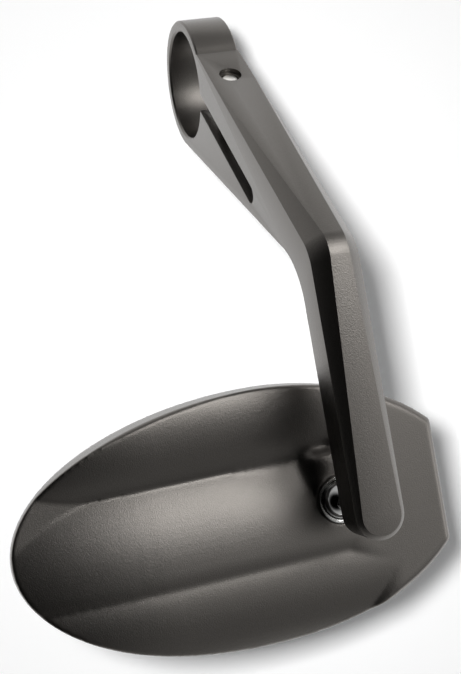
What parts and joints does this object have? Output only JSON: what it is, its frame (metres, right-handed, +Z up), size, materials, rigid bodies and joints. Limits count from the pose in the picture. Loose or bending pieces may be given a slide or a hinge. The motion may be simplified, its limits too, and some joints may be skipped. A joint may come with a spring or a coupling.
{
  "type": "motorcycle mirror",
  "caption": "Oval motorcycle mirror head on a bent, faceted arm whose slotted eye clamps on a bar end with a screw; the head turns on a ball joint.",
  "frame": {"origin": "centre of the clamp eye's bore, in the middle of the arm's width", "axes": "+X along the clamp bore, +Y from the arm's front towards the glass, +Z up along the lower part of the arm"},
  "size_m": [0.1162, 0.1061, 0.1782],
  "materials": {
    "black_aluminium": "bead blasted and anodised satin black",
    "stainless": "turned",
    "polished_steel": "polished",
    "nylon": "moulded",
    "foam": "closed cell foam",
    "mirror": "silvered convex glass",
    "seal": "matt"
  },
  "bodies": {
    "arm": {"arm": "black_aluminium", "clamp_screw": "stainless", "clamp_washer": "stainless", "stud_washer": "stainless"},
    "stud": {"ball_stud": "polished_steel"},
    "cup": {"ball_cup": "nylon"},
    "head": {"socket_ring": "polished_steel", "head_shell": "black_aluminium", "glass_pad": "foam", "mirror_glass": "mirror", "edge_seal": "seal"}
  },
  "joints": [
    {"name": "head_turn", "type": "hinge", "parent": "arm", "child": "stud", "pos_m": [0, -0.0567, -0.1245], "axis": [0, 1, 0], "range_deg": [-40, 40]},
    {"name": "head_pan", "type": "hinge", "parent": "stud", "child": "cup", "pos_m": [0, -0.0567, -0.1245], "axis": [0, 0, 1], "range_deg": [-15, 15]},
    {"name": "head_tilt", "type": "hinge", "parent": "cup", "child": "head", "pos_m": [0, -0.0567, -0.1245], "axis": [1, 0, 0], "range_deg": [-12, 12]}
  ]
}
